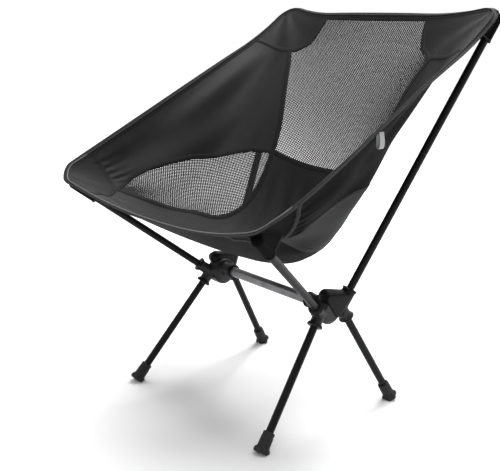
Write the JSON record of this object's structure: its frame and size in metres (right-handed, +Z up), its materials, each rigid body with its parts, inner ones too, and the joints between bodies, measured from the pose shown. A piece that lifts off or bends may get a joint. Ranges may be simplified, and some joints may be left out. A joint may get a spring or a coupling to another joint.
{
  "type": "ultralight backpacking chair",
  "caption": "Low camp chair: a sewn sling seat with mesh windows hung on a shock-corded pole frame with two moulded hubs, a crossbar and splayed legs with rubber feet.",
  "frame": {"origin": "centre of the chair's footprint box, on the ground", "axes": "+Z up; the sitter faces -Y and the sitter's left is +X"},
  "size_m": [0.5538, 0.54, 0.6692],
  "materials": {
    "crossbar_aluminium": "satin",
    "black_anodised_tube": "satin",
    "black_nylon": "matte",
    "foot_rubber": "matte",
    "shock_cord": "woven",
    "seat_fabric": "woven",
    "seat_mesh": "open knit",
    "edge_binding": "woven tape",
    "ribbon": "woven tape"
  },
  "bodies": {
    "root": {"crossbar": "crossbar_aluminium", "crossbar_collars": "black_nylon", "hub_left": "black_nylon", "hub_right": "black_nylon", "front_shock_cord_left": "shock_cord", "front_shock_cord_right": "shock_cord", "rear_shock_cord_left": "shock_cord", "rear_shock_cord_right": "shock_cord", "seat_panel": "seat_fabric", "back_mesh_panel": "seat_mesh", "wing_panel_left": "seat_fabric", "wing_panel_right": "seat_fabric", "side_mesh_left": "seat_mesh", "side_mesh_right": "seat_mesh", "front_binding": "edge_binding", "top_binding": "edge_binding", "side_binding_left": "edge_binding", "side_binding_right": "edge_binding", "hang_loop": "ribbon"},
    "front_leg_left": {"front_leg_tube_left": "black_anodised_tube", "front_leg_foot_left": "foot_rubber", "front_leg_plug_left": "black_nylon"},
    "rear_leg_left": {"rear_leg_tube_left": "black_anodised_tube", "rear_leg_foot_left": "foot_rubber", "rear_leg_plug_left": "black_nylon"},
    "front_pole_left": {"front_pole_tube_left": "black_anodised_tube", "front_pole_tip_left": "black_nylon", "front_pocket_left": "seat_fabric", "front_corner_patch_left": "seat_fabric", "front_corner_binding_left": "edge_binding"},
    "rear_pole_lower_left": {"rear_pole_lower_tube_left": "black_anodised_tube", "rear_pole_ferrule_left": "black_anodised_tube"},
    "rear_pole_upper_left": {"rear_pole_upper_tube_left": "black_anodised_tube", "rear_pole_tip_left": "black_nylon", "rear_pocket_left": "seat_fabric", "rear_corner_patch_left": "seat_fabric", "rear_corner_binding_left": "edge_binding"},
    "front_leg_right": {"front_leg_tube_right": "black_anodised_tube", "front_leg_foot_right": "foot_rubber", "front_leg_plug_right": "black_nylon"},
    "rear_leg_right": {"rear_leg_tube_right": "black_anodised_tube", "rear_leg_foot_right": "foot_rubber", "rear_leg_plug_right": "black_nylon"},
    "front_pole_right": {"front_pole_tube_right": "black_anodised_tube", "front_pole_tip_right": "black_nylon", "front_pocket_right": "seat_fabric", "front_corner_patch_right": "seat_fabric", "front_corner_binding_right": "edge_binding"},
    "rear_pole_lower_right": {"rear_pole_lower_tube_right": "black_anodised_tube", "rear_pole_ferrule_right": "black_anodised_tube"},
    "rear_pole_upper_right": {"rear_pole_upper_tube_right": "black_anodised_tube", "rear_pole_tip_right": "black_nylon", "rear_pocket_right": "seat_fabric", "rear_corner_patch_right": "seat_fabric", "rear_corner_binding_right": "edge_binding"}
  },
  "joints": [
    {"name": "front_leg_left_slide", "type": "slide", "parent": "root", "child": "front_leg_left", "axis": [0.1217, -0.625, -0.7711], "range_m": [0, 0.02], "stiffness_N_per_m": 120, "springref_m": -0.08},
    {"name": "rear_leg_left_slide", "type": "slide", "parent": "root", "child": "rear_leg_left", "axis": [0.1181, 0.4907, -0.8633], "range_m": [0, 0.02], "stiffness_N_per_m": 120, "springref_m": -0.08},
    {"name": "front_pole_left_slide", "type": "slide", "parent": "root", "child": "front_pole_left", "axis": [0.3392, -0.7278, 0.5961], "range_m": [0, 0.023], "stiffness_N_per_m": 120, "springref_m": -0.08},
    {"name": "rear_pole_upper_left_slide", "type": "slide", "parent": "root", "child": "rear_pole_upper_left", "axis": [0.1771, 0.4596, 0.8703], "range_m": [0, 0.069], "stiffness_N_per_m": 80, "springref_m": -0.08},
    {"name": "rear_pole_lower_left_slide", "type": "slide", "parent": "root", "child": "rear_pole_lower_left", "axis": [0.1771, 0.4596, 0.8703], "range_m": [0, 0.025]},
    {"name": "front_leg_right_slide", "type": "slide", "parent": "root", "child": "front_leg_right", "axis": [-0.1217, -0.625, -0.7711], "range_m": [0, 0.02], "stiffness_N_per_m": 120, "springref_m": -0.08},
    {"name": "rear_leg_right_slide", "type": "slide", "parent": "root", "child": "rear_leg_right", "axis": [-0.1181, 0.4907, -0.8633], "range_m": [0, 0.02], "stiffness_N_per_m": 120, "springref_m": -0.08},
    {"name": "front_pole_right_slide", "type": "slide", "parent": "root", "child": "front_pole_right", "axis": [-0.3392, -0.7278, 0.5961], "range_m": [0, 0.023], "stiffness_N_per_m": 120, "springref_m": -0.08},
    {"name": "rear_pole_upper_right_slide", "type": "slide", "parent": "root", "child": "rear_pole_upper_right", "axis": [-0.1771, 0.4596, 0.8703], "range_m": [0, 0.069], "stiffness_N_per_m": 80, "springref_m": -0.08},
    {"name": "rear_pole_lower_right_slide", "type": "slide", "parent": "root", "child": "rear_pole_lower_right", "axis": [-0.1771, 0.4596, 0.8703], "range_m": [0, 0.025]}
  ],
  "couplings": [
    {"joint": "rear_pole_lower_left_slide", "follows": "rear_pole_upper_left_slide", "ratio": 0.362},
    {"joint": "rear_pole_lower_right_slide", "follows": "rear_pole_upper_right_slide", "ratio": 0.362}
  ]
}
